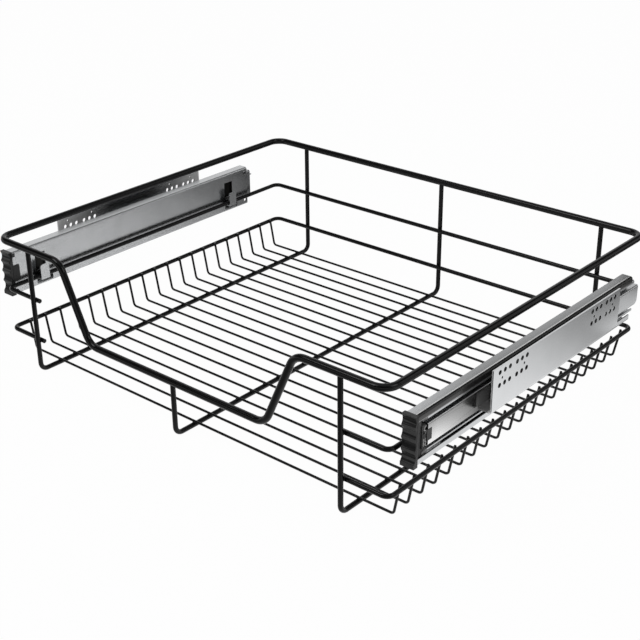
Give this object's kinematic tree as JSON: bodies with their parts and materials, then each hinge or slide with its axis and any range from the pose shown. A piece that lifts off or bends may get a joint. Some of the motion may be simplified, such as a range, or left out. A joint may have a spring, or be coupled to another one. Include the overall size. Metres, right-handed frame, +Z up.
{
  "type": "pull-out cabinet basket",
  "caption": "Wire basket with a dipped front on full-extension ball-bearing slides that screw to the side walls of a kitchen base cabinet.",
  "frame": {"origin": "on the plane of the basket's underside, under the middle of the basket, closed", "axes": "+X right seen from the front, +Y into the cabinet, +Z up; the basket pulls out along -Y"},
  "size_m": [0.564, 0.426, 0.1405],
  "materials": {
    "powder_coat": "gloss black powder coat",
    "slide_steel": "bright zinc-plated cold-rolled strip",
    "plate_steel": "bright zinc-plated sheet",
    "rivet_steel": "zinc-plated rivet",
    "cage_steel": "plain thin steel strip",
    "ball_steel": "polished bearing balls",
    "black_plastic": "moulded black nylon, satin"
  },
  "bodies": {
    "cabinet_rails": {"right_mounting_plate": "plate_steel", "right_cabinet_member": "slide_steel", "right_bracket_rivets": "rivet_steel", "left_mounting_plate": "plate_steel", "left_cabinet_member": "slide_steel", "left_bracket_rivets": "rivet_steel"},
    "basket": {"top_frame_wire": "powder_coat", "middle_rail_wire": "powder_coat", "lower_rail_wire": "powder_coat", "left_rib_wire": "powder_coat", "middle_rib_wire": "powder_coat", "right_rib_wire": "powder_coat", "floor_wire_01": "powder_coat", "floor_wire_02": "powder_coat", "floor_wire_03": "powder_coat", "floor_wire_04": "powder_coat", "floor_wire_05": "powder_coat", "floor_wire_06": "powder_coat", "floor_wire_07": "powder_coat", "floor_wire_08": "powder_coat", "floor_wire_09": "powder_coat", "floor_wire_10": "powder_coat", "floor_wire_11": "powder_coat", "floor_wire_12": "powder_coat", "floor_wire_13": "powder_coat", "floor_wire_14": "powder_coat", "floor_wire_15": "powder_coat", "floor_wire_16": "powder_coat", "floor_wire_17": "powder_coat", "floor_wire_18": "powder_coat", "floor_wire_19": "powder_coat", "floor_wire_20": "powder_coat", "right_drawer_member": "slide_steel", "right_end_cap": "black_plastic", "right_front_latch": "black_plastic", "left_drawer_member": "slide_steel", "left_end_cap": "black_plastic", "left_front_latch": "black_plastic"},
    "right_middle_channel": {"right_middle_member": "slide_steel", "right_middle_bumper": "black_plastic"},
    "right_inner_cage": {"right_inner_ball_cage": "cage_steel", "right_inner_balls": "ball_steel"},
    "right_outer_cage": {"right_outer_ball_cage": "cage_steel", "right_outer_balls": "ball_steel"},
    "left_middle_channel": {"left_middle_member": "slide_steel", "left_middle_bumper": "black_plastic"},
    "left_inner_cage": {"left_inner_ball_cage": "cage_steel", "left_inner_balls": "ball_steel"},
    "left_outer_cage": {"left_outer_ball_cage": "cage_steel", "left_outer_balls": "ball_steel"}
  },
  "joints": [
    {"name": "basket_pull_out", "type": "slide", "parent": "cabinet_rails", "child": "basket", "axis": [0, -1, 0], "range_m": [0, 0.35]},
    {"name": "right_middle_channel_slide", "type": "slide", "parent": "cabinet_rails", "child": "right_middle_channel", "axis": [0, -1, 0], "range_m": [0, 0.175]},
    {"name": "right_inner_cage_slide", "type": "slide", "parent": "cabinet_rails", "child": "right_inner_cage", "axis": [0, -1, 0], "range_m": [0, 0.0875]},
    {"name": "right_outer_cage_slide", "type": "slide", "parent": "cabinet_rails", "child": "right_outer_cage", "axis": [0, -1, 0], "range_m": [0, 0.2625]},
    {"name": "left_middle_channel_slide", "type": "slide", "parent": "cabinet_rails", "child": "left_middle_channel", "axis": [0, -1, 0], "range_m": [0, 0.175]},
    {"name": "left_inner_cage_slide", "type": "slide", "parent": "cabinet_rails", "child": "left_inner_cage", "axis": [0, -1, 0], "range_m": [0, 0.0875]},
    {"name": "left_outer_cage_slide", "type": "slide", "parent": "cabinet_rails", "child": "left_outer_cage", "axis": [0, -1, 0], "range_m": [0, 0.2625]}
  ],
  "couplings": [
    {"joint": "right_middle_channel_slide", "follows": "basket_pull_out", "ratio": 0.5},
    {"joint": "right_inner_cage_slide", "follows": "basket_pull_out", "ratio": 0.25},
    {"joint": "right_outer_cage_slide", "follows": "basket_pull_out", "ratio": 0.75},
    {"joint": "left_middle_channel_slide", "follows": "basket_pull_out", "ratio": 0.5},
    {"joint": "left_inner_cage_slide", "follows": "basket_pull_out", "ratio": 0.25},
    {"joint": "left_outer_cage_slide", "follows": "basket_pull_out", "ratio": 0.75}
  ]
}
